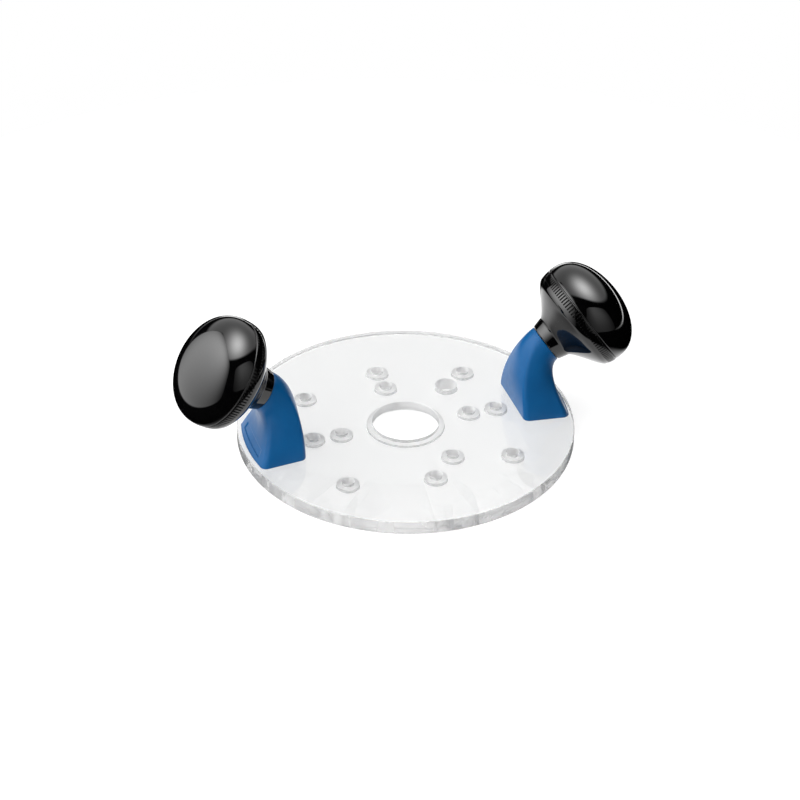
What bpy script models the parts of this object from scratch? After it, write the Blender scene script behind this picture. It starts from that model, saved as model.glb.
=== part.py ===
"""Router sub base: a round clear plate with two angled risers and ribbed knobs.

Blender 4.5, metres, +Z up. The origin is the centre of the plate's underside.
The two handles stand on the X axis and are the same parts, half a turn apart,
so each side is built once at +X and carried by an empty that turns it.
"""
import math

import bmesh
import bpy
from mathutils import Vector

# Clear plate
PLATE_DIAMETER = 0.1524
PLATE_THICKNESS = 0.00635
PLATE_EDGE_ROUND = 0.0005
PLATE_SEGMENTS = 96
PLATE_ROUND_STEPS = 1

# Centre opening, with a rebate from below that seats a guide bush
OPENING_DIAMETER = 0.0302
REBATE_WIDTH = 0.0024
REBATE_DEPTH = 0.0024
OPENING_SEGMENTS = 48

# Machine screws, and the counterbored holes of their size in the plate
SCREW_DIAMETER = 0.0050
SCREW_LENGTH = 0.0120
SCREW_HEAD_DIAMETER = 0.0095
SCREW_HEAD_HEIGHT = 0.0026
SCREW_HEAD_ROUND = 0.0009
SCREW_TIP_CHAMFER = 0.0006
SCREW_SOCKET_WIDTH = 0.0030
SCREW_SOCKET_DEPTH = 0.0014
SCREW_HOLE_CLEARANCE = 0.00025
SCREW_HEAD_CLEARANCE = 0.00035
SCREW_LEDGE = 0.0032
SCREW_SEGMENTS = 16
HEAD_ROUND_STEPS = 3
SOCKET_SIDES = 6

# Places of the plate's open holes
NEAR_HOLE_RADIUS = 0.0302
FAR_HOLE_RADIUS = 0.0433
CORNER_HOLE_X = 0.0381
CORNER_HOLE_REAR_Y = 0.0320
CORNER_HOLE_FRONT_Y = 0.0368
ODD_HOLE_X = 0.0123
ODD_HOLE_Y = 0.0301
SIGHT_HOLE_DIAMETER = 0.0100
SIGHT_HOLE_X = 0.0270
SIGHT_HOLE_Y = 0.0227
SIGHT_HOLE_SEGMENTS = 24

# Riser foot, a wedge with a straight inner edge and an arc for its outer edge
FOOT_RIM_MARGIN = 0.0020
FOOT_LENGTH = 0.0232
FOOT_INNER_HALF_WIDTH = 0.0172
FOOT_OUTER_HALF_WIDTH = 0.0195
FOOT_CORNER_RADIUS = 0.0030
FOOT_CORNER_STEPS = 4
FOOT_SIDE_STEPS = 6
FOOT_ARC_STEPS = 8
FOOT_EDGE_ROUND = 0.0004

# Riser neck, where the knob seats, and how the walls leave foot and neck
NECK_SETBACK = 0.0081
NECK_RISE = 0.0294
NECK_RADIUS = 0.0089
NECK_TILT = math.radians(55.1)
NECK_EDGE_ROUND = 0.0003
INNER_WALL_RISE = 0.0220
OUTER_WALL_RISE = 0.0200
OUTER_WALL_LEAN = 0.0170
SIDE_WALL_RISE = 0.0130
INNER_NECK_PULL = 0.0465
OUTER_NECK_PULL = 0.0195
RISER_SECTIONS = 10

# Shallow bare strip on the riser's outer face
STRIP_HALF_WIDTH = 0.0125
STRIP_DEPTH = 0.0004
STRIP_START_SHARE = 0.10
STRIP_END_SHARE = 0.25
STRIP_COLUMNS = 10
STRIP_ROWS = 2

# Riser screws and the threaded inserts that they turn into
RISER_SCREW_SETBACK = 0.0112
RISER_SCREW_SPACING = 0.0170
INSERT_WALL = 0.0010
SCREW_INSERT_LENGTH = 0.0095
THREAD_CLEARANCE = 0.00015
BORE_END_SPACE = 0.0007

# Stud between riser and knob, and the inserts at its two ends
STUD_DIAMETER = 0.0060
STUD_CHAMFER = 0.0005
STUD_INSERT_LENGTH = 0.0080
KNOB_INSERT_LENGTH = 0.0120
STUD_SEGMENTS = 16

# Knob body: boss, flared skirt and ribbed band. Heights are above the neck face,
# the boss overhangs the neck, and insets are from the knob's widest radius.
KNOB_BOSS_OVERHANG = 0.0004
KNOB_BOSS_HEIGHT = 0.0045
KNOB_BOSS_TAPER = 0.0010
KNOB_FLANK_INSET = 0.0087
KNOB_FLANK_HEIGHT = 0.0097
KNOB_FLANK_ANGLE = math.radians(56.0)
KNOB_FLANK_PULL = 0.0090
KNOB_BOSS_PULL = 0.0035
KNOB_SHOULDER_INSET = 0.0011
KNOB_BAND_HEIGHT = 0.0056
KNOB_SHOULDER_ANGLE = math.radians(23.0)
KNOB_SHOULDER_PULL = 0.0054
KNOB_SEAM_HEIGHT = 0.0213
KNOB_EDGE_ROUND = 0.0003
FLARE_STEPS = 2
SHOULDER_STEPS = 3
RIB_COUNT = 120
RIB_DEPTH = 0.00035
RIB_END_SPACE = 0.0004
RIB_POINTS = 2 * RIB_COUNT
KNOB_SEGMENTS = RIB_COUNT // 2

# Knob cap: a dome with a spigot that seats in the body
KNOB_RADIUS = 0.0250
KNOB_WIDEST_LIFT = 0.0007
KNOB_HEIGHT = 0.0397
DOME_FULLNESS = 2.35
DOME_STEPS = 7
CAP_RIM_WIDTH = 0.0050
CAP_SPIGOT_DEPTH = 0.0028
CAP_SEGMENTS = 48

# Gap between pieces that touch, and how far a cutter passes a face
SEAT_GAP = 0.0003
CUT_PAST = 0.0010

PLATE_RADIUS = PLATE_DIAMETER / 2
PLATE_TOP = PLATE_THICKNESS
SCREW_RADIUS = SCREW_DIAMETER / 2
SCREW_HOLE_RADIUS = SCREW_RADIUS + SCREW_HOLE_CLEARANCE
COUNTERBORE_RADIUS = SCREW_HEAD_DIAMETER / 2 + SCREW_HEAD_CLEARANCE
COUNTERBORE_DEPTH = PLATE_THICKNESS - SCREW_LEDGE
SCREW_SEAT = COUNTERBORE_DEPTH - SEAT_GAP
SCREW_BORE_RADIUS = SCREW_RADIUS + THREAD_CLEARANCE
SCREW_INSERT_RADIUS = SCREW_BORE_RADIUS + INSERT_WALL
SCREW_TIP = SCREW_SEAT + SCREW_LENGTH
STUD_RADIUS = STUD_DIAMETER / 2
STUD_BORE_RADIUS = STUD_RADIUS + THREAD_CLEARANCE
STUD_INSERT_RADIUS = STUD_BORE_RADIUS + INSERT_WALL
RISER_BASE = PLATE_TOP + SEAT_GAP
FOOT_OUTER_RADIUS = PLATE_RADIUS - FOOT_RIM_MARGIN
FOOT_INNER_X = FOOT_OUTER_RADIUS - FOOT_LENGTH
FOOT_MIDDLE_X = FOOT_OUTER_RADIUS - FOOT_LENGTH / 2
RISER_SCREW_X = FOOT_OUTER_RADIUS - RISER_SCREW_SETBACK
NECK_CENTRE = Vector((FOOT_OUTER_RADIUS - NECK_SETBACK, 0, PLATE_TOP + NECK_RISE))
NECK_AXIS = Vector((math.sin(NECK_TILT), 0, math.cos(NECK_TILT)))
NECK_OUTWARD = Vector((math.cos(NECK_TILT), 0, -math.sin(NECK_TILT)))
ACROSS = Vector((0, 1, 0))
KNOB_BOSS_RADIUS = NECK_RADIUS + KNOB_BOSS_OVERHANG
KNOB_FLANK_RADIUS = KNOB_RADIUS - KNOB_FLANK_INSET
KNOB_SHOULDER_RADIUS = KNOB_RADIUS - KNOB_SHOULDER_INSET
KNOB_SHOULDER_HEIGHT = KNOB_SEAM_HEIGHT - KNOB_BAND_HEIGHT
KNOB_WIDEST_HEIGHT = KNOB_SEAM_HEIGHT + KNOB_WIDEST_LIFT
BODY_TOP = KNOB_SEAM_HEIGHT - SEAT_GAP / 2
CAP_BOTTOM = KNOB_SEAM_HEIGHT + SEAT_GAP / 2
SPIGOT_RADIUS = KNOB_RADIUS - CAP_RIM_WIDTH
SPIGOT_BOTTOM = CAP_BOTTOM - CAP_SPIGOT_DEPTH

SIDES = (("right", 1, 0.0), ("left", -1, math.pi))


def clear_scene():
    for obj in list(bpy.data.objects):
        bpy.data.objects.remove(obj, do_unlink=True)


def new_collection(name, parent):
    collection = bpy.data.collections.new(name)
    parent.children.link(collection)
    return collection


def new_material(name, color, roughness, metallic, alpha=1.0):
    material = bpy.data.materials.new(name)
    material.use_nodes = True
    shader = material.node_tree.nodes["Principled BSDF"]
    shader.inputs["Base Color"].default_value = (*color, 1.0)
    shader.inputs["Roughness"].default_value = roughness
    shader.inputs["Metallic"].default_value = metallic
    shader.inputs["Alpha"].default_value = alpha
    return material


def add_object(name, mesh, collection, parent=None, material=None):
    obj = bpy.data.objects.new(name, mesh)
    collection.objects.link(obj)
    obj.parent = parent
    if material:
        mesh.materials.append(material)
    return obj


def make_cutter(obj):
    obj.hide_render = True
    obj.display_type = "WIRE"


def finish_mesh(bm, name):
    bmesh.ops.recalc_face_normals(bm, faces=bm.faces)
    mesh = bpy.data.meshes.new(name)
    bm.to_mesh(mesh)
    bm.free()
    shade(mesh)
    return mesh


def shade(mesh):
    mesh.shade_smooth()
    mesh.set_sharp_from_angle(angle=math.radians(30))


def turned(name, profile, segments, collection, parent=None, material=None):
    """Revolve a profile of (radius, height) pairs, given from top to bottom."""
    mesh = bpy.data.meshes.new(name)
    points = [(radius, 0, height) for radius, height in profile]
    edges = [(i, i + 1) for i in range(len(points) - 1)]
    if profile[0][0] > 0:
        edges.append((len(points) - 1, 0))
    mesh.from_pydata(points, edges, [])
    obj = add_object(name, mesh, collection, parent, material)
    screw = obj.modifiers.new("turn", "SCREW")
    screw.axis = "Z"
    screw.angle = math.tau
    screw.steps = segments
    screw.render_steps = segments
    screw.use_merge_vertices = True
    screw.merge_threshold = 0.00001
    screw.use_smooth_shade = True
    return obj


def cut_with(obj, collection):
    boolean = obj.modifiers.new("cuts", "BOOLEAN")
    boolean.operation = "DIFFERENCE"
    boolean.solver = "EXACT"
    boolean.operand_type = "COLLECTION"
    boolean.collection = collection


def hermite(start, start_pull, end, end_pull, share):
    """Point on a curve that leaves start along its pull and meets end along its pull."""
    leave = share * (1 - share) ** 2
    arrive = share ** 2 * (1 - share)
    blend = share ** 2 * (3 - 2 * share)
    return start * (1 - blend) + end * blend + start_pull * leave - end_pull * arrive


def add_ring(bm, points):
    return [bm.verts.new(point) for point in points]


def join_rings(bm, coarse, fine):
    """Skin two rings; the second may have a whole multiple of the first's points."""
    count = len(coarse)
    ratio = len(fine) // count
    for i in range(count):
        here, there = coarse[i], coarse[(i + 1) % count]
        run = [fine[(i * ratio + k) % len(fine)] for k in range(ratio + 1)]
        if ratio == 1:
            bm.faces.new((here, there, run[1], run[0]))
            continue
        half = ratio // 2
        for k in range(ratio):
            bm.faces.new((here if k < half else there, run[k + 1], run[k]))
        bm.faces.new((here, there, run[half]))


def hole_profile(radius, seat_radius, seat_depth):
    """Cutter for a hole through the plate that is wider up to seat_depth from below."""
    top = PLATE_THICKNESS + CUT_PAST
    return [(0, top), (radius, top), (radius, seat_depth),
            (seat_radius, seat_depth), (seat_radius, -CUT_PAST), (0, -CUT_PAST)]


def open_hole_places():
    places = [(NEAR_HOLE_RADIUS * x, NEAR_HOLE_RADIUS * y) for x, y in ((1, 0), (-1, 0), (0, 1))]
    places += [(FAR_HOLE_RADIUS * x, FAR_HOLE_RADIUS * y)
               for x, y in ((1, 0), (-1, 0), (0, 1), (0, -1))]
    places += [(CORNER_HOLE_X * x, y) for x in (1, -1)
               for y in (CORNER_HOLE_REAR_Y, -CORNER_HOLE_FRONT_Y)]
    places.append((ODD_HOLE_X, -ODD_HOLE_Y))
    return places


def riser_screw_places():
    return [(RISER_SCREW_X, RISER_SCREW_SPACING / 2 * across) for across in (1, -1)]


def build_plate(parts, cutters, material):
    mesh = bpy.data.meshes.new("base_plate")
    bm = bmesh.new()
    bmesh.ops.create_cone(bm, cap_ends=True, segments=PLATE_SEGMENTS, radius1=PLATE_RADIUS,
                          radius2=PLATE_RADIUS, depth=PLATE_THICKNESS)
    bmesh.ops.translate(bm, verts=bm.verts, vec=(0, 0, PLATE_THICKNESS / 2))
    bm.to_mesh(mesh)
    bm.free()
    shade(mesh)
    plate = add_object("base_plate", mesh, parts, None, material)
    bevel = plate.modifiers.new("edge", "BEVEL")
    bevel.width = PLATE_EDGE_ROUND
    bevel.segments = PLATE_ROUND_STEPS
    bevel.limit_method = "ANGLE"
    bevel.angle_limit = math.radians(60)
    plate_cutters = new_collection("plate_cutters", cutters)
    counterbored = hole_profile(SCREW_HOLE_RADIUS, COUNTERBORE_RADIUS, COUNTERBORE_DEPTH)
    places = open_hole_places()
    for _, way, _ in SIDES:
        places += [(x * way, y * way) for x, y in riser_screw_places()]
    for number, (x, y) in enumerate(places, 1):
        cutter = turned(f"cut_screw_hole_{number}", counterbored, SCREW_SEGMENTS, plate_cutters)
        cutter.location = (x, y, 0)
        make_cutter(cutter)
    rebated = hole_profile(OPENING_DIAMETER / 2, OPENING_DIAMETER / 2 + REBATE_WIDTH, REBATE_DEPTH)
    make_cutter(turned("cut_opening", rebated, OPENING_SEGMENTS, plate_cutters))
    top = PLATE_THICKNESS + CUT_PAST
    sight_radius = SIGHT_HOLE_DIAMETER / 2
    plain = [(0, top), (sight_radius, top), (sight_radius, -CUT_PAST), (0, -CUT_PAST)]
    sight = turned("cut_sight_hole", plain, SIGHT_HOLE_SEGMENTS, plate_cutters)
    sight.location = (SIGHT_HOLE_X, SIGHT_HOLE_Y, 0)
    make_cutter(sight)
    cut_with(plate, plate_cutters)
    return plate


def corner_round(corner, come, leave):
    """Points of an arc that rounds a corner between two unit directions."""
    turn = come.angle(leave)
    centre = corner - come * FOOT_CORNER_RADIUS * math.tan(turn / 2)
    centre += Vector((-come.y, come.x)) * FOOT_CORNER_RADIUS
    start = math.atan2(-come.x, come.y)
    angles = [start + turn * k / (FOOT_CORNER_STEPS - 1) for k in range(FOOT_CORNER_STEPS)]
    return [centre + Vector((math.cos(a), math.sin(a))) * FOOT_CORNER_RADIUS for a in angles]


def between(start, end, steps):
    return [start.lerp(end, k / steps) for k in range(1, steps)]


def foot_outline():
    """Outline of the foot at the plate, counter-clockwise from its outer corner."""
    outer_x = math.sqrt(FOOT_OUTER_RADIUS ** 2 - FOOT_OUTER_HALF_WIDTH ** 2)
    outer = Vector((outer_x, FOOT_OUTER_HALF_WIDTH))
    inner = Vector((FOOT_INNER_X, FOOT_INNER_HALF_WIDTH))
    side = (inner - outer).normalized()
    along_rim = Vector((-outer.y, outer.x)).normalized()
    outer_corner = corner_round(outer, along_rim, side)
    inner_corner = corner_round(inner, side, Vector((0, -1)))
    half = outer_corner + between(outer_corner[-1], inner_corner[0], FOOT_SIDE_STEPS) + inner_corner
    other = [Vector((point.x, -point.y)) for point in reversed(half)]
    inner_edge = between(half[-1], other[0], FOOT_SIDE_STEPS)
    swing = math.atan2(half[0].y, half[0].x)
    angles = [swing * (2 * k / FOOT_ARC_STEPS - 1) for k in range(1, FOOT_ARC_STEPS)]
    arc = [Vector((math.cos(a), math.sin(a))) * FOOT_OUTER_RADIUS for a in angles]
    return half + inner_edge + other + arc


def riser_point(foot, share):
    """Point of the riser's skin above a foot point, share of the way to the neck."""
    round_x = (foot.x - FOOT_MIDDLE_X) / (FOOT_LENGTH / 2)
    round_y = foot.y / FOOT_OUTER_HALF_WIDTH
    angle = math.atan2(round_y, round_x)
    out, across = math.cos(angle), math.sin(angle)
    outer_share, inner_share, side_share = max(out, 0) ** 2, max(-out, 0) ** 2, across ** 2
    rise = OUTER_WALL_RISE * outer_share + INNER_WALL_RISE * inner_share + SIDE_WALL_RISE * side_share
    start_pull = Vector((-OUTER_WALL_LEAN * outer_share, 0, rise))
    neck_pull = NECK_AXIS * (OUTER_NECK_PULL * (1 + out) + INNER_NECK_PULL * (1 - out)) / 2
    start = Vector((foot.x, foot.y, RISER_BASE))
    end = NECK_CENTRE + (NECK_OUTWARD * out + ACROSS * across) * NECK_RADIUS
    return hermite(start, start_pull, end, neck_pull, share)


def drawn_in(points, centre, amount):
    return [point + (centre - point).normalized() * amount for point in points]


def build_riser_mesh(name):
    outline = foot_outline()
    base = [Vector((foot.x, foot.y, RISER_BASE)) for foot in outline]
    base_centre = Vector((FOOT_MIDDLE_X, 0, RISER_BASE))
    skin = [[riser_point(foot, k / RISER_SECTIONS) for foot in outline]
            for k in range(RISER_SECTIONS + 1)]
    raised = [point + Vector((0, 0, FOOT_EDGE_ROUND)) for point in skin[0]]
    rim = skin[-1]
    lowered = [point - NECK_AXIS * NECK_EDGE_ROUND for point in rim]
    rings = [drawn_in(base, base_centre, FOOT_EDGE_ROUND), raised, *skin[1:-1], lowered,
             drawn_in(rim, NECK_CENTRE, NECK_EDGE_ROUND)]
    bm = bmesh.new()
    loops = [add_ring(bm, ring) for ring in rings]
    for lower, upper in zip(loops, loops[1:]):
        join_rings(bm, lower, upper)
    bm.faces.new(loops[0])
    bm.faces.new(loops[-1])
    return finish_mesh(bm, name)


def strip_cutter_mesh(name):
    """Slab that follows the riser's outer face and takes a shallow strip from it."""
    swing = math.asin(STRIP_HALF_WIDTH / FOOT_OUTER_RADIUS)
    bm = bmesh.new()
    layers = []
    for depth in (-STRIP_DEPTH, CUT_PAST):
        rows = []
        for j in range(STRIP_ROWS + 1):
            share = STRIP_START_SHARE + (STRIP_END_SHARE - STRIP_START_SHARE) * j / STRIP_ROWS
            row = []
            for i in range(STRIP_COLUMNS + 1):
                angle = swing * (2 * i / STRIP_COLUMNS - 1)
                foot = Vector((math.cos(angle), math.sin(angle))) * FOOT_OUTER_RADIUS
                point = riser_point(foot, share)
                up = riser_point(foot, STRIP_END_SHARE) - riser_point(foot, STRIP_START_SHARE)
                along = Vector((-foot.y, foot.x, 0))
                row.append(bm.verts.new(point + along.cross(up).normalized() * depth))
            rows.append(row)
        layers.append(rows)
    inner, outer = layers
    for rows in layers:
        for j in range(STRIP_ROWS):
            for i in range(STRIP_COLUMNS):
                bm.faces.new((rows[j][i], rows[j][i + 1], rows[j + 1][i + 1], rows[j + 1][i]))
    edge_in, edge_out = border(inner), border(outer)
    for k in range(len(edge_in)):
        after = (k + 1) % len(edge_in)
        bm.faces.new((edge_in[k], edge_in[after], edge_out[after], edge_out[k]))
    return finish_mesh(bm, name)


def border(rows):
    """Verts round the edge of a grid, in order."""
    left = [row[0] for row in rows[1:-1]]
    right = [row[-1] for row in rows[1:-1]]
    return rows[0] + right + rows[-1][::-1] + left[::-1]


def build_riser(side, turn, axis, parts, cutters, material):
    riser = add_object(f"{side}_riser", build_riser_mesh(f"{side}_riser"), parts, turn, material)
    riser_cutters = new_collection(f"{side}_riser_cutters", cutters)
    bore_radius = SCREW_INSERT_RADIUS + SEAT_GAP
    bore_top = max(RISER_BASE + SCREW_INSERT_LENGTH + SEAT_GAP, SCREW_TIP) + BORE_END_SPACE
    profile = [(0, bore_top), (bore_radius, bore_top), (bore_radius, RISER_BASE - CUT_PAST),
               (0, RISER_BASE - CUT_PAST)]
    for number, (x, y) in enumerate(riser_screw_places(), 1):
        cutter = turned(f"cut_{side}_screw_bore_{number}", profile, SCREW_SEGMENTS, riser_cutters, turn)
        cutter.location = (x, y, 0)
        make_cutter(cutter)
    stud_bore = STUD_INSERT_RADIUS + SEAT_GAP
    stud_depth = STUD_INSERT_LENGTH + SEAT_GAP + BORE_END_SPACE
    profile = [(0, CUT_PAST), (stud_bore, CUT_PAST), (stud_bore, -stud_depth), (0, -stud_depth)]
    make_cutter(turned(f"cut_{side}_stud_bore", profile, STUD_SEGMENTS, riser_cutters, axis))
    strip = f"cut_{side}_strip"
    make_cutter(add_object(strip, strip_cutter_mesh(strip), riser_cutters, turn))
    cut_with(riser, riser_cutters)


def insert_profile(bore, radius, bottom, top):
    """Threaded bush: a sleeve, drawn from its inner top edge."""
    return [(bore, top), (radius, top), (radius, bottom), (bore, bottom)]


def screw_profile():
    """Round-headed screw, tip up, with its head hanging below the seat."""
    head_radius = SCREW_HEAD_DIAMETER / 2
    head_bottom = SCREW_SEAT - SCREW_HEAD_HEIGHT
    profile = [(0, SCREW_TIP), (SCREW_RADIUS - SCREW_TIP_CHAMFER, SCREW_TIP),
               (SCREW_RADIUS, SCREW_TIP - SCREW_TIP_CHAMFER), (SCREW_RADIUS, SCREW_SEAT),
               (head_radius, SCREW_SEAT)]
    for k in range(HEAD_ROUND_STEPS + 1):
        angle = math.pi / 2 * k / HEAD_ROUND_STEPS
        profile.append((head_radius - SCREW_HEAD_ROUND * (1 - math.cos(angle)),
                        head_bottom + SCREW_HEAD_ROUND * (1 - math.sin(angle))))
    profile.append((0, head_bottom))
    return profile


def build_riser_fasteners(side, way, turn, parts, cutters, steel, brass):
    socket_radius = SCREW_SOCKET_WIDTH / math.sqrt(3)
    head_bottom = SCREW_SEAT - SCREW_HEAD_HEIGHT
    socket_top = head_bottom + SCREW_SOCKET_DEPTH
    socket = [(0, socket_top), (socket_radius, socket_top), (socket_radius, head_bottom - CUT_PAST),
              (0, head_bottom - CUT_PAST)]
    bush = insert_profile(SCREW_BORE_RADIUS, SCREW_INSERT_RADIUS, RISER_BASE + SEAT_GAP,
                          RISER_BASE + SEAT_GAP + SCREW_INSERT_LENGTH)
    for x, y in riser_screw_places():
        place = "rear" if y * way > 0 else "front"
        name = f"{side}_{place}_screw"
        screw = turned(name, screw_profile(), SCREW_SEGMENTS, parts, turn, steel)
        screw.location = (x, y, 0)
        own_cutters = new_collection(f"{name}_cutters", cutters)
        drive = turned(f"cut_{name}_socket", socket, SOCKET_SIDES, own_cutters, turn)
        drive.location = (x, y, 0)
        make_cutter(drive)
        cut_with(screw, own_cutters)
        sleeve = turned(f"{name}_insert", bush, SCREW_SEGMENTS, parts, turn, brass)
        sleeve.location = (x, y, 0)


def build_stud(side, axis, parts, steel, brass):
    bottom = -STUD_INSERT_LENGTH
    top = SEAT_GAP + KNOB_INSERT_LENGTH
    profile = [(0, top), (STUD_RADIUS - STUD_CHAMFER, top), (STUD_RADIUS, top - STUD_CHAMFER),
               (STUD_RADIUS, bottom + STUD_CHAMFER), (STUD_RADIUS - STUD_CHAMFER, bottom), (0, bottom)]
    turned(f"{side}_stud", profile, STUD_SEGMENTS, parts, axis, steel)
    bush = insert_profile(STUD_BORE_RADIUS, STUD_INSERT_RADIUS, -STUD_INSERT_LENGTH - SEAT_GAP, -SEAT_GAP)
    turned(f"{side}_stud_insert", bush, STUD_SEGMENTS, parts, axis, brass)


def flare_points():
    """Radius and height along the skirt, from the boss to the ribbed band's foot."""
    boss = Vector((KNOB_BOSS_RADIUS + KNOB_BOSS_TAPER, KNOB_BOSS_HEIGHT))
    flank = Vector((KNOB_FLANK_RADIUS, KNOB_FLANK_HEIGHT))
    shoulder = Vector((KNOB_SHOULDER_RADIUS, KNOB_SHOULDER_HEIGHT))
    up = Vector((0, KNOB_BOSS_PULL))
    out = Vector((math.sin(KNOB_FLANK_ANGLE), math.cos(KNOB_FLANK_ANGLE))) * KNOB_FLANK_PULL
    over = Vector((math.sin(KNOB_SHOULDER_ANGLE), math.cos(KNOB_SHOULDER_ANGLE))) * KNOB_SHOULDER_PULL
    low = [hermite(boss, up, flank, out, k / FLARE_STEPS) for k in range(FLARE_STEPS)]
    high = [hermite(flank, out, shoulder, over, k / SHOULDER_STEPS) for k in range(SHOULDER_STEPS + 1)]
    return low + high


def knob_ring(radius, height, count, dip=0):
    """Ring of points round the knob's axis; every second one lies dip further in."""
    points = []
    for k in range(count):
        angle = math.tau * k / count
        reach = radius - dip * (k % 2)
        points.append(Vector((math.cos(angle) * reach, math.sin(angle) * reach, height)))
    return points


def build_knob_body(side, axis, parts, cutters, material):
    rings = [knob_ring(KNOB_BOSS_RADIUS - KNOB_EDGE_ROUND, SEAT_GAP, KNOB_SEGMENTS),
             knob_ring(KNOB_BOSS_RADIUS, SEAT_GAP + KNOB_EDGE_ROUND, KNOB_SEGMENTS)]
    rings += [knob_ring(point.x, point.y, KNOB_SEGMENTS) for point in flare_points()]
    band_foot = KNOB_SHOULDER_HEIGHT + RIB_END_SPACE
    band_top = BODY_TOP - RIB_END_SPACE
    top_radius = KNOB_RADIUS - KNOB_EDGE_ROUND
    bm = bmesh.new()
    coarse = [add_ring(bm, ring) for ring in rings]
    for lower, upper in zip(coarse, coarse[1:]):
        join_rings(bm, lower, upper)
    rib_foot = add_ring(bm, knob_ring(KNOB_SHOULDER_RADIUS + RIB_DEPTH, band_foot, RIB_POINTS, RIB_DEPTH))
    rib_top = add_ring(bm, knob_ring(top_radius, band_top, RIB_POINTS, RIB_DEPTH))
    lip = add_ring(bm, knob_ring(top_radius - RIB_DEPTH, BODY_TOP, KNOB_SEGMENTS))
    join_rings(bm, coarse[-1], rib_foot)
    join_rings(bm, rib_foot, rib_top)
    join_rings(bm, lip, rib_top)
    bm.faces.new(coarse[0])
    bm.faces.new(lip)
    name = f"{side}_knob_body"
    body = add_object(name, finish_mesh(bm, name), parts, axis, material)
    body_cutters = new_collection(f"{name}_cutters", cutters)
    bore = STUD_INSERT_RADIUS + SEAT_GAP
    bore_top = SEAT_GAP + KNOB_INSERT_LENGTH + SEAT_GAP + BORE_END_SPACE
    profile = [(0, bore_top), (bore, bore_top), (bore, -CUT_PAST), (0, -CUT_PAST)]
    make_cutter(turned(f"cut_{name}_bore", profile, STUD_SEGMENTS, body_cutters, axis))
    socket = SPIGOT_RADIUS + SEAT_GAP
    floor = SPIGOT_BOTTOM - SEAT_GAP
    profile = [(0, BODY_TOP + CUT_PAST), (socket, BODY_TOP + CUT_PAST), (socket, floor), (0, floor)]
    make_cutter(turned(f"cut_{name}_socket", profile, CAP_SEGMENTS, body_cutters, axis))
    cut_with(body, body_cutters)


def build_knob_cap(side, axis, parts, material):
    rise = KNOB_HEIGHT - KNOB_WIDEST_HEIGHT
    profile = [(0, KNOB_HEIGHT)]
    for k in range(DOME_STEPS - 1, -1, -1):
        climb = math.sin(math.pi / 2 * k / DOME_STEPS)
        profile.append((KNOB_RADIUS * math.sqrt(1 - climb ** DOME_FULLNESS),
                        KNOB_WIDEST_HEIGHT + rise * climb))
    profile += [(KNOB_RADIUS - KNOB_EDGE_ROUND, CAP_BOTTOM), (SPIGOT_RADIUS, CAP_BOTTOM),
                (SPIGOT_RADIUS, SPIGOT_BOTTOM), (0, SPIGOT_BOTTOM)]
    turned(f"{side}_knob_cap", profile, CAP_SEGMENTS, parts, axis, material)


def build_knob_insert(side, axis, parts, material):
    bush = insert_profile(STUD_BORE_RADIUS, STUD_INSERT_RADIUS, SEAT_GAP + SEAT_GAP,
                          SEAT_GAP + KNOB_INSERT_LENGTH)
    turned(f"{side}_knob_insert", bush, STUD_SEGMENTS, parts, axis, material)


def add_empty(name, collection, parent=None):
    empty = bpy.data.objects.new(name, None)
    collection.objects.link(empty)
    empty.parent = parent
    return empty


def main():
    clear_scene()
    scene_root = bpy.context.scene.collection
    parts = new_collection("router_sub_base", scene_root)
    cutters = new_collection("cutters", scene_root)
    acrylic = new_material("clear_acrylic", (0.93, 0.94, 0.94), 0.03, 0.0, 0.35)
    blue = new_material("blue_plastic", (0.010, 0.100, 0.290), 0.38, 0.0)
    black = new_material("black_plastic", (0.006, 0.006, 0.007), 0.08, 0.0)
    brass = new_material("brass", (0.72, 0.52, 0.20), 0.30, 1.0)
    steel = new_material("zinc_steel", (0.62, 0.63, 0.65), 0.28, 1.0)
    build_plate(parts, cutters, acrylic)
    for side, way, angle in SIDES:
        turn = add_empty(f"{side}_side", parts)
        turn.rotation_euler = (0, 0, angle)
        axis = add_empty(f"{side}_knob_axis", parts, turn)
        axis.location = NECK_CENTRE
        axis.rotation_euler = (0, NECK_TILT, 0)
        build_riser(side, turn, axis, parts, cutters, blue)
        build_riser_fasteners(side, way, turn, parts, cutters, steel, brass)
        build_stud(side, axis, parts, steel, brass)
        build_knob_body(side, axis, parts, cutters, black)
        build_knob_cap(side, axis, parts, black)
        build_knob_insert(side, axis, parts, brass)


main()
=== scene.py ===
"""Looks of the router sub base: clear plate, two satin risers, two gloss knobs, fasteners."""
import math

import bmesh
import bpy
from mathutils import Matrix, Vector


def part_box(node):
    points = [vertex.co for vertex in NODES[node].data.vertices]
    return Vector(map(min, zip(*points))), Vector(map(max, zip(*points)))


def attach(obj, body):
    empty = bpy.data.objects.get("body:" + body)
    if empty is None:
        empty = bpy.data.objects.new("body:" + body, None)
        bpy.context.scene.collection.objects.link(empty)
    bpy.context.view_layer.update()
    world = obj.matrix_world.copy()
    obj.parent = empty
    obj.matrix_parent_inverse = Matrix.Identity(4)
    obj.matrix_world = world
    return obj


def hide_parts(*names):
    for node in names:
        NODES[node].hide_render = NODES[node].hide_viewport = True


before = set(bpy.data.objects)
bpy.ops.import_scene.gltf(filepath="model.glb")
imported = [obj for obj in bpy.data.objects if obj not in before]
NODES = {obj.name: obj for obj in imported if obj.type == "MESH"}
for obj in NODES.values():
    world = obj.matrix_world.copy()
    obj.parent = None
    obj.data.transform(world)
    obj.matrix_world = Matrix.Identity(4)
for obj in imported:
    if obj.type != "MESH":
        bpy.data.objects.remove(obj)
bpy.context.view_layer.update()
SIDES = (("right", 1), ("left", -1))
SHARP_ANGLE = 30

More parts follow.
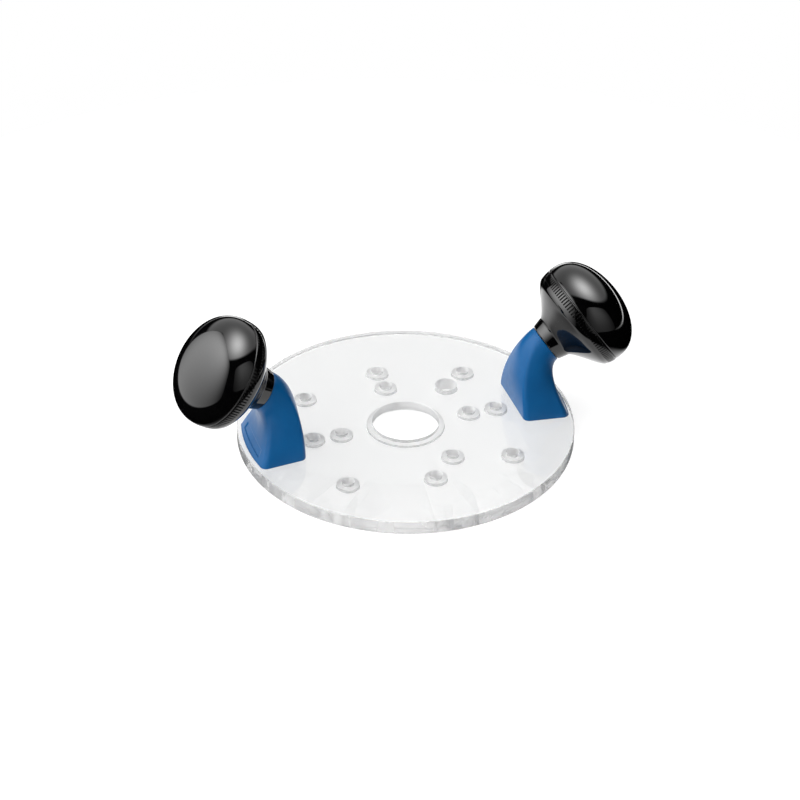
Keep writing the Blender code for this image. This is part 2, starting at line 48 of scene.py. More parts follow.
# Gaps and sizes that the solids share
SEAT_GAP = 0.0003
PLATE_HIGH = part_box("base_plate")[1]
PLATE_RADIUS = PLATE_HIGH.x
PLATE_THICKNESS = PLATE_HIGH.z

# Clear plate
PLATE_EDGE_ROUND = 0.0005
PLATE_SEGMENTS = 288
OPENING_RADIUS = 0.0151
REBATE_WIDTH = 0.0024
REBATE_DEPTH = 0.0024
OPENING_SEGMENTS = 144
HOLE_SEGMENTS = 56
HOLE_EDGE_BREAK = 0.00022
SCREW_RADIUS = 0.0025
SCREW_HOLE_RADIUS = 0.00275
COUNTERBORE_RADIUS = 0.0051
COUNTERBORE_DEPTH = 0.00315
SIGHT_HOLE_RADIUS = 0.0050
SIGHT_HOLE_PLACE = (0.0270, 0.0227)
NEAR_HOLE_RADIUS = 0.0302
FAR_HOLE_RADIUS = 0.0433
CORNER_HOLE_X = 0.0381
CORNER_HOLE_REAR_Y = 0.0320
CORNER_HOLE_FRONT_Y = 0.0368
ODD_HOLE_PLACE = (0.0123, -0.0301)
CUT_PAST = 0.0010
FLAT_NORMAL = 0.999
SKIN_TOLERANCE = 0.00005

# Riser: foot, walls and neck
RISER_BASE = PLATE_THICKNESS + SEAT_GAP
FOOT_RIM_MARGIN = 0.0020
FOOT_LENGTH = 0.0232
FOOT_INNER_HALF_WIDTH = 0.0172
FOOT_OUTER_HALF_WIDTH = 0.0195
FOOT_CORNER_RADIUS = 0.0030
FOOT_CORNER_STEPS = 12
FOOT_SIDE_STEPS = 20
FOOT_EDGE_ROUND = 0.0004
NECK_SETBACK = 0.0081
NECK_RISE = 0.0294
NECK_RADIUS = 0.0089
NECK_TILT = math.radians(55.1)
NECK_EDGE_ROUND = 0.0003
INNER_WALL_RISE = 0.0220
OUTER_WALL_RISE = 0.0200
OUTER_WALL_LEAN = 0.0170
SIDE_WALL_RISE = 0.0130
INNER_NECK_PULL = 0.0465
OUTER_NECK_PULL = 0.0195
RISER_SECTIONS = 44
ROUND_STEPS = 4
STRIP_HALF_WIDTH = 0.0125
STRIP_DEPTH = 0.0004
STRIP_START_SHARE = 0.10
STRIP_END_SHARE = 0.25
STRIP_EDGE = 0.00045
STRIP_SIDE_STEPS = 5
STRIP_PLAIN_STEPS = 16
STRIP_OUTSIDE_STEPS = 6
STRIP_ROW_SHARE = 0.0035
CLOSEST_ROW_SHARE = 0.000875
SLOPE_SHARE = 0.01
RISER_SHARP_ANGLE = 42
RISER_SCREW_SETBACK = 0.0112
RISER_SCREW_SPACING = 0.0170

# Screws and inserts
SCREW_LENGTH = 0.0120
SCREW_HEAD_RADIUS = 0.00475
SCREW_HEAD_HEIGHT = 0.0026
SCREW_HEAD_ROUND = 0.0009
HEAD_ROUND_STEPS = 10
SCREW_SOCKET_WIDTH = 0.0030
SCREW_SOCKET_DEPTH = 0.0014
SOCKET_SIDES = 6
SCREW_PITCH = 0.0008
SCREW_THREAD_DEPTH = 0.00035
SCREW_TIP_CHAMFER = 0.0006
THREAD_STEPS = 8
SCREW_SEGMENTS = 48
SCREW_SEAT = COUNTERBORE_DEPTH - SEAT_GAP
INSERT_BORE = 0.00265
INSERT_RADIUS = 0.00365
INSERT_LENGTH = 0.0095
INSERT_TEETH = 24
INSERT_TOOTH_DEPTH = 0.00016
TOOTH_POINTS = 4
INSERT_EDGE = 0.0004

# Knob, in radii and heights above the neck face
KNOB_RADIUS = 0.0250
KNOB_BOSS_RADIUS = 0.0093
KNOB_BOSS_HEIGHT = 0.0045
KNOB_BOSS_TAPER = 0.0010
KNOB_BOSS_PULL = 0.0035
KNOB_FLANK_RADIUS = 0.0163
KNOB_FLANK_HEIGHT = 0.0097
KNOB_FLANK_ANGLE = math.radians(56.0)
KNOB_FLANK_PULL = 0.0090
KNOB_SHOULDER_RADIUS = 0.0239
KNOB_SHOULDER_HEIGHT = 0.0157
KNOB_SHOULDER_ANGLE = math.radians(23.0)
KNOB_SHOULDER_PULL = 0.0054
KNOB_SEAM_HEIGHT = 0.0213
KNOB_EDGE_ROUND = 0.0003
KNOB_WIDEST_HEIGHT = 0.0220
KNOB_HEIGHT = 0.0397
DOME_FULLNESS = 2.35
DOME_STEPS = 56
FLARE_STEPS = 20
BAND_TOP_RADIUS = 0.0249
RIB_COUNT = 108
RIB_POINTS = 12
GROOVE_SHARE = 0.5
RIB_DEPTH = 0.00075
RIB_START_SHARE = 0.30
RIB_END_SHARE = 0.93
RIB_RUNOUT_SHARE = 0.11
RIB_RUNOUT_STEPS = 4
RIB_MIDDLE_STEPS = 5
SHOULDER_STEPS = 3
SEAM_GAP = 0.00006
KNOB_SEGMENTS = 216
KNOB_SHARP_ANGLE = 50
STUD_BORE = 0.0045
KNOB_BORE_DEPTH = 0.0133
CAP_RIM_WIDTH = 0.0050
CAP_SPIGOT_DEPTH = 0.0028

FOOT_OUTER_RADIUS = PLATE_RADIUS - FOOT_RIM_MARGIN
FOOT_INNER_X = FOOT_OUTER_RADIUS - FOOT_LENGTH
FOOT_MIDDLE_X = FOOT_OUTER_RADIUS - FOOT_LENGTH / 2
NECK_CENTRE = Vector((FOOT_OUTER_RADIUS - NECK_SETBACK, 0, PLATE_THICKNESS + NECK_RISE))
NECK_AXIS = Vector((math.sin(NECK_TILT), 0, math.cos(NECK_TILT)))
NECK_OUTWARD = Vector((math.cos(NECK_TILT), 0, -math.sin(NECK_TILT)))
ACROSS = Vector((0, 1, 0))
BODY_TOP = KNOB_SEAM_HEIGHT - SEAM_GAP / 2
CAP_BOTTOM = KNOB_SEAM_HEIGHT + SEAM_GAP / 2
SPIGOT_RADIUS = KNOB_RADIUS - CAP_RIM_WIDTH

# Camera, from the photograph's ellipses, in pixels of the 800 by 800 frame. A direction is
# an azimuth and an elevation in degrees, where azimuth 0 is -Y and 90 is +X.
IMAGE_SIZE = 800
CAMERA_DIRECTION = (-18.3, 34.63)
CAMERA_DISTANCE = 1.024
CAMERA_ROLL = 0.0158
PIXELS_PER_METRE = 2212.6
PLATE_CENTRE_PIXEL = (405.67, 420.31)
SENSOR_WIDTH = 36.0

# Materials: colours in linear light, in pairs that a noise goes between
ACRYLIC_IOR = 1.49
ACRYLIC_TINT = (0.975, 0.98, 0.98)
CUT_ACRYLIC_TINT = (0.90, 0.90, 0.90)
FACE_CLEARNESS = 0.93
CUT_CLEARNESS = 0.85
NOISE_RANGE = (0.3, 0.7)
BLUE_TONES = ((0.0004, 0.088, 0.260), (0.0010, 0.100, 0.290))
BLACK_TONES = ((0.0008, 0.0008, 0.0009), (0.0014, 0.0014, 0.0015))
STEEL_TONES = ((0.50, 0.51, 0.53), (0.66, 0.67, 0.69))
BRASS_TONES = ((0.58, 0.39, 0.13), (0.74, 0.54, 0.22))

# Studio: the radiance of what lights the object and of what gloss mirrors, where 1 is white
FLOOR_RADIUS = 0.36
FLOOR_DROP = 0.0002
FLOOR_SEGMENTS = 96
FLOOR_COLOR = 0.45
FLOOR_GLOW = 0.75
FLOOR_GLOW_THROUGH = 0.69
ROOM_LIGHT = 0.10
CEILING_DIRECTION = (161, 60)
CEILING_HALF_ANGLE = 53.5
CEILING_EDGE = 3.0
CEILING_LIGHT = 0.90
CEILING_MIRRORED = 0.95
ROOM_SEEN_INSIDE = 0.35
GLOW_DIRECTION = (105, 80)
GLOW_FALL = 10.0
GLOW_MIRRORED = 11.0
SPOT_DIRECTION = (165, -12)
SPOT_HALF_ANGLE = 6.0
SPOT_EDGE = 2.0
SPOT_MIRRORED = 2.0
HORIZON_DIRECTION = (125, -7)
HORIZON_SINE = -0.12
HORIZON_HALF_WIDTH = 0.035
HORIZON_FALL = 3.0
HORIZON_MIRRORED = 4.5
TABLE_GLOW_PLACE = (0.013, 0.004)
TABLE_GLOW_RADIUS = 0.108
TABLE_GLOW_EDGE = 0.008
TABLE_GLOW_MIRRORED = 1.5
TABLE_GLOW_CLEARANCE = 0.0001
TABLE_GLOW_DIM_RADIUS = 0.018
TABLE_GLOW_DIM_END = 0.048
TABLE_GLOW_DIM_SHARE = 0.40
# Panels: both ends on the floor plan, then the low and the high edge
LEFT_PANEL = ((-0.239, 0.410), (-0.239, -0.320), -0.040, 0.514)
FRONT_PANEL = ((-0.089, -0.489), (0.750, -0.390), -0.030, 0.560)
NEAR_PANEL = ((-0.200, -0.300), (-0.010, -0.350), 0.030, 0.280)
LEFT_LIGHT = 2.1
FRONT_LIGHT = 0.08
NEAR_LIGHT = 1.9
LEFT_MIRRORED = 6.5
FRONT_MIRRORED = 1.2
# A card's glow at its start, where along or up it is brightest, and its glow at the end
LEFT_ALONG_SHARES = (0.36, 0.52, 0.10)
LEFT_UPWARD_SHARES = (0.28, 0.65, 0.60)
FRONT_ALONG_SHARES = (0.25, 0.30, 0.20)
FRONT_UPWARD_SHARES = (0.35, 0.75, 1.0)
CARD_CORNER_POWER = 6.0
CARD_EDGE_START = 0.75
LIGHT_BOUNCES = 24
CLEAR_BOUNCES = 16


def direction(azimuth, elevation):
    """Unit vector towards a view angle in degrees."""
    a, e = math.radians(azimuth), math.radians(elevation)
    return Vector((math.sin(a) * math.cos(e), -math.cos(a) * math.cos(e), math.sin(e)))


def link(obj):
    bpy.context.scene.collection.objects.link(obj)
    return obj


def mesh_object(name, bm, sharp_angle=SHARP_ANGLE):
    bmesh.ops.recalc_face_normals(bm, faces=bm.faces)
    mesh = bpy.data.meshes.new(name)
    bm.to_mesh(mesh)
    bm.free()
    mesh.shade_smooth()
    mesh.set_sharp_from_angle(angle=math.radians(sharp_angle))
    return link(bpy.data.objects.new(name, mesh))


def hermite(start, start_pull, end, end_pull, share):
    """Point on a curve that leaves start along its pull and meets end along its pull."""
    leave = share * (1 - share) ** 2
    arrive = share ** 2 * (1 - share)
    blend = share ** 2 * (3 - 2 * share)
    return start * (1 - blend) + end * blend + start_pull * leave - end_pull * arrive


def smooth_step(value):
    value = min(max(value, 0.0), 1.0)
    return value * value * (3 - 2 * value)


def add_ring(bm, points):
    return [bm.verts.new(point) for point in points]


def join_rings(bm, coarse, fine):
    """Skin two rings; the second may have a whole multiple of the first's points."""
    count = len(coarse)
    ratio = len(fine) // count
    for i in range(count):
        here, there = coarse[i], coarse[(i + 1) % count]
        run = [fine[(i * ratio + k) % len(fine)] for k in range(ratio + 1)]
        if ratio == 1:
            bm.faces.new((here, there, run[1], run[0]))
            continue
        half = ratio // 2
        for k in range(ratio):
            bm.faces.new((here if k < half else there, run[k + 1], run[k]))
        bm.faces.new((here, there, run[half]))


def circle(radius, height, count):
    angles = [math.tau * k / count for k in range(count)]
    return [Vector((math.cos(a) * radius, math.sin(a) * radius, height)) for a in angles]


def lathe(bm, profile, count):
    """Closed revolve of (radius, height) pairs; a radius of zero is a pole."""
    previous, first = None, None
    for radius, height in profile:
        pole = radius == 0
        ring = add_ring(bm, [(0, 0, height)] if pole else circle(radius, height, count))
        if previous:
            skin_turn(bm, previous, ring)
        previous, first = ring, first or ring
    if len(first) > 1:
        skin_turn(bm, previous, first)


def skin_turn(bm, low, high):
    if len(low) == 1 or len(high) == 1:
        pole, ring = (low[0], high) if len(low) == 1 else (high[0], low)
        for i, vert in enumerate(ring):
            bm.faces.new((pole, vert, ring[(i + 1) % len(ring)]))
    else:
        join_rings(bm, low, high)


def arc(centre_radius, centre_height, radius, start, end, steps):
    """Points of a profile's rounded corner, angles in degrees from the outward direction."""
    points = []
    for k in range(steps + 1):
        a = math.radians(start + (end - start) * k / steps)
        points.append((centre_radius + radius * math.cos(a), centre_height + radius * math.sin(a)))
    return points


# Materials


class Nodes:
    """Short calls to build a node tree."""

    def __init__(self, tree):
        self.tree = tree

    def add(self, kind, **settings):
        node = self.tree.nodes.new(kind)
        for key, value in settings.items():
            setattr(node, key, value)
        return node

    def link(self, source, target):
        self.tree.links.new(source, target)

    def feed(self, value, socket):
        if isinstance(value, bpy.types.NodeSocket):
            self.link(value, socket)
        else:
            socket.default_value = value

    def math(self, operation, first, second):
        node = self.add("ShaderNodeMath", operation=operation)
        self.feed(first, node.inputs[0])
        self.feed(second, node.inputs[1])
        return node.outputs[0]

    def spread(self, value, start, end, low, high, smooth=False):
        """Turn the range start to end into low to high."""
        node = self.add("ShaderNodeMapRange", interpolation_type="SMOOTHSTEP" if smooth else "LINEAR")
        for key, number in zip(("From Min", "From Max", "To Min", "To Max"), (start, end, low, high)):
            self.feed(number, node.inputs[key])
        self.link(value, node.inputs["Value"])
        return node.outputs["Result"]

    def between(self, factor, first, second):
        """Number that goes from first to second as the factor goes from 0 to 1."""
        node = self.add("ShaderNodeMix", data_type="FLOAT")
        self.feed(factor, node.inputs["Factor"])
        self.feed(first, node.inputs["A"])
        self.feed(second, node.inputs["B"])
        return node.outputs["Result"]


class Surface(Nodes):
    """Node tree of a material round its Principled shader."""

    def __init__(self, name):
        self.material = bpy.data.materials.new(name)
        self.material.use_nodes = True
        super().__init__(self.material.node_tree)
        self.shader = self.tree.nodes["Principled BSDF"]
        self.output = self.tree.nodes["Material Output"]
        self.coordinates = self.add("ShaderNodeTexCoord").outputs["Object"]

    def set(self, **values):
        for key, value in values.items():
            self.shader.inputs[key.replace("_", " ")].default_value = value

    def drive(self, **sources):
        for key, source in sources.items():
            self.link(source, self.shader.inputs[key.replace("_", " ")])

    def noise(self, scale, detail=2.0, roughness=0.5, stretch=(1, 1, 1)):
        mapping = self.add("ShaderNodeMapping")
        mapping.inputs["Scale"].default_value = stretch
        self.link(self.coordinates, mapping.inputs["Vector"])
        node = self.add("ShaderNodeTexNoise")
        node.inputs["Scale"].default_value = scale
        node.inputs["Detail"].default_value = detail
        node.inputs["Roughness"].default_value = roughness
        self.link(mapping.outputs["Vector"], node.inputs["Vector"])
        return node.outputs["Fac"]

    def ramp(self, value, low, high):
        """Spread a noise, which seldom leaves NOISE_RANGE, over a range."""
        return self.spread(value, *NOISE_RANGE, low, high)

    def mix_colors(self, factor, first, second):
        node = self.add("ShaderNodeMix", data_type="RGBA")
        node.inputs["A"].default_value = (*first, 1)
        node.inputs["B"].default_value = (*second, 1)
        self.link(factor, node.inputs["Factor"])
        return node.outputs["Result"]

    def bump(self, height, distance, strength=1.0, under=None):
        node = self.add("ShaderNodeBump")
        node.inputs["Distance"].default_value = distance
        node.inputs["Strength"].default_value = strength
        self.link(height, node.inputs["Height"])
        if under:
            self.link(under, node.inputs["Normal"])
        return node.outputs["Normal"]


def let_lamps_through(surface, clearness):
    """Shadow rays pass the acrylic, so that lamps light what lies behind and below it."""
    path = surface.add("ShaderNodeLightPath")
    clear = surface.add("ShaderNodeBsdfTransparent")
    clear.inputs["Color"].default_value = (clearness, clearness, clearness, 1)
    mix = surface.add("ShaderNodeMixShader")
    surface.link(path.outputs["Is Shadow Ray"], mix.inputs["Fac"])
    surface.link(surface.shader.outputs["BSDF"], mix.inputs[1])
    surface.link(clear.outputs["BSDF"], mix.inputs[2])
    surface.link(mix.outputs["Shader"], surface.output.inputs["Surface"])


def acrylic_faces():
    surface = Surface("acrylic_polished")
    surface.set(Base_Color=(*ACRYLIC_TINT, 1), Transmission_Weight=1.0, IOR=ACRYLIC_IOR,
                Specular_IOR_Level=0.25)
    haze = surface.noise(scale=90, detail=4)
    waves = surface.noise(scale=26, detail=1)
    surface.drive(Roughness=surface.ramp(haze, 0.0, 0.010),
                  Normal=surface.bump(waves, distance=0.00002))
    let_lamps_through(surface, FACE_CLEARNESS)
    return surface.material


def acrylic_rim():
    """Sawn edge, eased and flame polished, with faint upright streaks and patches of haze."""
    surface = Surface("acrylic_rim")
    surface.set(Base_Color=(*CUT_ACRYLIC_TINT, 1), IOR=ACRYLIC_IOR)
    streaks = surface.noise(scale=60, detail=5, roughness=0.7, stretch=(1, 1, 0.06))
    haze = surface.noise(scale=90, detail=3, roughness=0.6, stretch=(1, 1, 0.3))
    surface.drive(Transmission_Weight=surface.ramp(haze, 0.66, 0.84),
                  Roughness=surface.ramp(streaks, 0.04, 0.20),
                  Normal=surface.bump(streaks, distance=0.00007))
    let_lamps_through(surface, CUT_CLEARNESS)
    return surface.material


def acrylic_machined():
    """Drilled and milled walls, frosted by the cutter, with chatter and fine turning lines."""
    surface = Surface("acrylic_machined")
    surface.set(Base_Color=(*CUT_ACRYLIC_TINT, 1), IOR=ACRYLIC_IOR)
    lines = surface.noise(scale=200, stretch=(0.15, 0.15, 6))
    chatter = surface.noise(scale=1100, detail=3)
    frost = surface.noise(scale=700, detail=3)
    rough = surface.bump(chatter, distance=0.00016, strength=0.75)
    surface.drive(Transmission_Weight=surface.ramp(chatter, 0.36, 0.74),
                  Roughness=surface.ramp(frost, 0.28, 0.50),
                  Normal=surface.bump(lines, distance=0.000004, under=rough))
    let_lamps_through(surface, CUT_CLEARNESS)
    return surface.material


def blue_plastic():
    """Satin moulding with a fine spark grain and faint flow marks."""
    surface = Surface("blue_moulding")
    surface.set(Specular_IOR_Level=0.15)
    tone = surface.ramp(surface.noise(scale=120, detail=4), 0, 1)
    sheen = surface.noise(scale=300, detail=3)
    grain = surface.bump(surface.noise(scale=4200), distance=0.00001, strength=0.6)
    flow = surface.bump(surface.noise(scale=160), distance=0.00005, strength=0.5, under=grain)
    surface.drive(Base_Color=surface.mix_colors(tone, *BLUE_TONES),
                  Roughness=surface.ramp(sheen, 0.28, 0.36), Normal=flow)
    return surface.material


def black_plastic():
    """High gloss moulding: faint waviness, and a trace of handling haze."""
    surface = Surface("black_gloss")
    tone = surface.ramp(surface.noise(scale=200, detail=3), 0, 1)
    haze = surface.noise(scale=260, detail=4)
    waves = surface.noise(scale=70, detail=1)
    surface.drive(Base_Color=surface.mix_colors(tone, *BLACK_TONES),
                  Roughness=surface.ramp(haze, 0.035, 0.080),
                  Normal=surface.bump(waves, distance=0.00003))
    return surface.material


def zinc_steel():
    surface = Surface("zinc_plated_steel")
    surface.set(Metallic=1.0)
    tone = surface.ramp(surface.noise(scale=900, detail=4), 0, 1)
    haze = surface.noise(scale=1500, detail=3)
    surface.drive(Base_Color=surface.mix_colors(tone, *STEEL_TONES),
                  Roughness=surface.ramp(haze, 0.20, 0.36),
                  Normal=surface.bump(surface.noise(scale=2500), distance=0.00001))
    return surface.material


def brass():
    surface = Surface("turned_brass")
    surface.set(Metallic=1.0)
    tone = surface.ramp(surface.noise(scale=700, detail=4), 0, 1)
    haze = surface.noise(scale=900, detail=3)
    turning = surface.noise(scale=1200, stretch=(1, 1, 8))
    surface.drive(Base_Color=surface.mix_colors(tone, *BRASS_TONES),
                  Roughness=surface.ramp(haze, 0.24, 0.40),
                  Normal=surface.bump(turning, distance=0.00001))
    return surface.material


# Clear plate


def hole_places():
    places = [(NEAR_HOLE_RADIUS * x, NEAR_HOLE_RADIUS * y) for x, y in ((1, 0), (-1, 0), (0, 1))]
    places += [(FAR_HOLE_RADIUS * x, FAR_HOLE_RADIUS * y)
               for x, y in ((1, 0), (-1, 0), (0, 1), (0, -1))]
    places += [(CORNER_HOLE_X * x, y) for x in (1, -1)
               for y in (CORNER_HOLE_REAR_Y, -CORNER_HOLE_FRONT_Y)]
    places.append(ODD_HOLE_PLACE)
    for _, way in SIDES:
        places += [(x * way, y) for x, y in riser_screw_places()]
    return places


def riser_screw_places():
    x = FOOT_OUTER_RADIUS - RISER_SCREW_SETBACK
    return [(x, RISER_SCREW_SPACING / 2 * across) for across in (1, -1)]


def hole_profile(radius, seat_radius, seat_depth):
    """Cutter for a hole with broken edges that is wider up to seat_depth from below."""
    top, past, cut = PLATE_THICKNESS, CUT_PAST, HOLE_EDGE_BREAK
    flare = cut + past
    return [(0, top + past), (radius + flare, top + past), (radius, top - cut), (radius, seat_depth),
            (seat_radius, seat_depth), (seat_radius, cut), (seat_radius + flare, -past), (0, -past)]


def plain_hole_profile(radius):
    """Cutter for a hole of one radius with broken edges."""
    top, past, cut = PLATE_THICKNESS, CUT_PAST, HOLE_EDGE_BREAK
    flare = radius + cut + past
    high = [(0, top + past), (flare, top + past), (radius, top - cut)]
    return high + [(radius, cut), (flare, -past), (0, -past)]


def cutter(name, profile, place, segments):
    bm = bmesh.new()
    lathe(bm, profile, segments)
    bmesh.ops.translate(bm, verts=bm.verts, vec=(*place, 0))
    return mesh_object(name, bm)


def plate_profile():
    r, t, e = PLATE_RADIUS, PLATE_THICKNESS, PLATE_EDGE_ROUND
    low = arc(r - e, e, e, -90, 0, ROUND_STEPS)
    high = arc(r - e, t - e, e, 0, 90, ROUND_STEPS)
    return [(0, 0), *low, *high, (0, t)]


def build_plate(faces, rim, machined):
    bm = bmesh.new()
    lathe(bm, plate_profile(), PLATE_SEGMENTS)
    plate = mesh_object("clear_plate", bm)
    counterbored = hole_profile(SCREW_HOLE_RADIUS, COUNTERBORE_RADIUS, COUNTERBORE_DEPTH)
    cuts = [cutter(f"hole_cut_{k}", counterbored, place, HOLE_SEGMENTS)
            for k, place in enumerate(hole_places())]
    opening = hole_profile(OPENING_RADIUS, OPENING_RADIUS + REBATE_WIDTH, REBATE_DEPTH)
    cuts.append(cutter("opening_cut", opening, (0, 0), OPENING_SEGMENTS))
    plain = plain_hole_profile(SIGHT_HOLE_RADIUS)
    cuts.append(cutter("sight_cut", plain, SIGHT_HOLE_PLACE, HOLE_SEGMENTS))
    cut_away(plate, cuts)
    for material in (faces, rim, machined):
        plate.data.materials.append(material)
    for face in plate.data.polygons:
        reach = math.hypot(face.center.x, face.center.y)
        flat = abs(face.normal.z) > FLAT_NORMAL
        on_skin = min(face.center.z, PLATE_THICKNESS - face.center.z) < SKIN_TOLERANCE
        if reach > PLATE_RADIUS - 2 * PLATE_EDGE_ROUND and not (flat and on_skin):
            face.material_index = 1
        elif not (flat and on_skin):
            face.material_index = 2
    return plate


def cut_away(obj, cuts):
    """Boolean each cutter off the object, keep the result as its mesh, drop the cutters."""
    group = bpy.data.collections.new(f"{obj.name}_cuts")
    for cut in cuts:
        group.objects.link(cut)
    boolean = obj.modifiers.new("cuts", "BOOLEAN")
    boolean.operation = "DIFFERENCE"
    boolean.solver = "EXACT"
    boolean.operand_type = "COLLECTION"
    boolean.collection = group
    evaluated = obj.evaluated_get(bpy.context.evaluated_depsgraph_get())
    mesh = bpy.data.meshes.new_from_object(evaluated)
    obj.modifiers.clear()
    obj.data = mesh
    for cut in cuts:
        bpy.data.objects.remove(cut, do_unlink=True)
    bpy.data.collections.remove(group)
    mesh.shade_smooth()
    mesh.set_sharp_from_angle(angle=math.radians(SHARP_ANGLE))


# Risers


def corner_round(corner, come, leave):
    """Points of an arc that rounds a corner between two unit directions."""
    turn = come.angle(leave)
    centre = corner - come * FOOT_CORNER_RADIUS * math.tan(turn / 2)
    centre += Vector((-come.y, come.x)) * FOOT_CORNER_RADIUS
    start = math.atan2(-come.x, come.y)
    angles = [start + turn * k / (FOOT_CORNER_STEPS - 1) for k in range(FOOT_CORNER_STEPS)]
    return [centre + Vector((math.cos(a), math.sin(a))) * FOOT_CORNER_RADIUS for a in angles]


def points_between(start, end, steps):
    return [start.lerp(end, k / steps) for k in range(1, steps)]


def strip_columns():
    """Half widths along the outer arc, closer together where the strip's edge is."""
    inside = STRIP_HALF_WIDTH - STRIP_EDGE
    plain = [inside * k / STRIP_PLAIN_STEPS for k in range(STRIP_PLAIN_STEPS + 1)]
    edge = [inside + STRIP_EDGE * k / STRIP_SIDE_STEPS for k in range(1, STRIP_SIDE_STEPS + 1)]
    room = FOOT_OUTER_HALF_WIDTH - FOOT_CORNER_RADIUS - STRIP_HALF_WIDTH
    steps = STRIP_OUTSIDE_STEPS
    outside = [STRIP_HALF_WIDTH + room * k / steps for k in range(1, steps)]
    return plain + edge + outside


def foot_outline():
    """Outline of the foot at the plate, counter-clockwise from its outer corner."""
    outer_x = math.sqrt(FOOT_OUTER_RADIUS ** 2 - FOOT_OUTER_HALF_WIDTH ** 2)
    outer = Vector((outer_x, FOOT_OUTER_HALF_WIDTH))
    inner = Vector((FOOT_INNER_X, FOOT_INNER_HALF_WIDTH))
    side = (inner - outer).normalized()
    along_rim = Vector((-outer.y, outer.x)).normalized()
    outer_corner = corner_round(outer, along_rim, side)
    inner_corner = corner_round(inner, side, Vector((0, -1)))
    half = outer_corner + points_between(outer_corner[-1], inner_corner[0], FOOT_SIDE_STEPS)
    half += inner_corner
    other = [Vector((point.x, -point.y)) for point in reversed(half)]
    inner_edge = points_between(half[-1], other[0], FOOT_SIDE_STEPS)
    widths = strip_columns()
    widths = [-w for w in reversed(widths[1:])] + widths
    angles = [math.asin(width / FOOT_OUTER_RADIUS) for width in widths]
    rim = [Vector((math.cos(a), math.sin(a))) * FOOT_OUTER_RADIUS for a in angles]
    return half + inner_edge + other + rim


def riser_point(foot, share):
    """Point of the riser's skin above a foot point, share of the way to the neck."""
    round_x = (foot.x - FOOT_MIDDLE_X) / (FOOT_LENGTH / 2)
    round_y = foot.y / FOOT_OUTER_HALF_WIDTH
    angle = math.atan2(round_y, round_x)
    out, across = math.cos(angle), math.sin(angle)
    outer_share, inner_share, side_share = max(out, 0) ** 2, max(-out, 0) ** 2, across ** 2
    rise = OUTER_WALL_RISE * outer_share + INNER_WALL_RISE * inner_share + SIDE_WALL_RISE * side_share
    start_pull = Vector((-OUTER_WALL_LEAN * outer_share, 0, rise))
    neck_pull = NECK_AXIS * (OUTER_NECK_PULL * (1 + out) + INNER_NECK_PULL * (1 - out)) / 2
    start = Vector((foot.x, foot.y, RISER_BASE))
    end = NECK_CENTRE + (NECK_OUTWARD * out + ACROSS * across) * NECK_RADIUS
    return hermite(start, start_pull, end, neck_pull, share)


def strip_dip(foot, share):
    """How deep the strip on the outer face is, from its edges' distance in metres."""
    if foot.x < FOOT_MIDDLE_X:
        return 0
    rise = (riser_point(foot, STRIP_END_SHARE) - riser_point(foot, STRIP_START_SHARE)).length
    along = (share - STRIP_START_SHARE) / (STRIP_END_SHARE - STRIP_START_SHARE) * rise
    inward = min(STRIP_HALF_WIDTH - abs(foot.y), along, rise - along)
    return STRIP_DEPTH * smooth_step(inward / STRIP_EDGE)


def section_shares():
    """Heights of the riser's rings, closer together across the strip's edges."""
    shares = {k / RISER_SECTIONS for k in range(RISER_SECTIONS + 1)}
    for edge, way in ((STRIP_START_SHARE, 1), (STRIP_END_SHARE, -1)):
        shares |= {edge + way * STRIP_ROW_SHARE * k for k in range(-1, STRIP_SIDE_STEPS + 1)}
    shares = sorted(shares)
    return [s for k, s in enumerate(shares) if k == 0 or s - shares[k - 1] > CLOSEST_ROW_SHARE]


def riser_skin(outline):
    """Rings of the riser's wall, with the strip let in across the outer face."""
    rings = []
    for share in section_shares():
        skin = [riser_point(foot, share) for foot in outline]
        above, below = min(share + SLOPE_SHARE, 1.0), max(share - SLOPE_SHARE, 0.0)
        ahead = [riser_point(foot, above) - riser_point(foot, below) for foot in outline]
        ring = []
        for k, point in enumerate(skin):
            dip = strip_dip(outline[k], share)
            if dip:
                along = skin[(k + 1) % len(skin)] - skin[k - 1]
                point = point - along.cross(ahead[k]).normalized() * dip
            ring.append(point)
        rings.append(ring)
    return rings


def eased(points, centre, along, radius, steps):
    """Rings that round an end's edge: from the flat end out to the wall."""
    rings = []
    for k in range(steps + 1):
        angle = math.pi / 2 * k / steps
        inset = radius * (1 - math.sin(angle))
        rise = radius * (1 - math.cos(angle))
        rings.append([p + (centre - p).normalized() * inset + along * rise for p in points])
    return rings


def build_riser(side, way, material):
    outline = foot_outline()
    skin = riser_skin(outline)
    base_centre = Vector((FOOT_MIDDLE_X, 0, RISER_BASE))
    low = eased(skin[0], base_centre, Vector((0, 0, 1)), FOOT_EDGE_ROUND, ROUND_STEPS)
    high = eased(skin[-1], NECK_CENTRE, -NECK_AXIS, NECK_EDGE_ROUND, ROUND_STEPS)
    bm = bmesh.new()
    loops = [add_ring(bm, ring) for ring in low + skin[1:-1] + high[::-1]]
    for lower, upper in zip(loops, loops[1:]):
        join_rings(bm, lower, upper)
    bm.faces.new(loops[0])
    bm.faces.new(loops[-1])
    turn_to_side(bm, way)
    riser = mesh_object(f"{side}_riser_moulding", bm, RISER_SHARP_ANGLE)
    cut_away(riser, riser_bores(side, way))
    riser.data.set_sharp_from_angle(angle=math.radians(RISER_SHARP_ANGLE))
    riser.data.materials.append(material)
    return riser


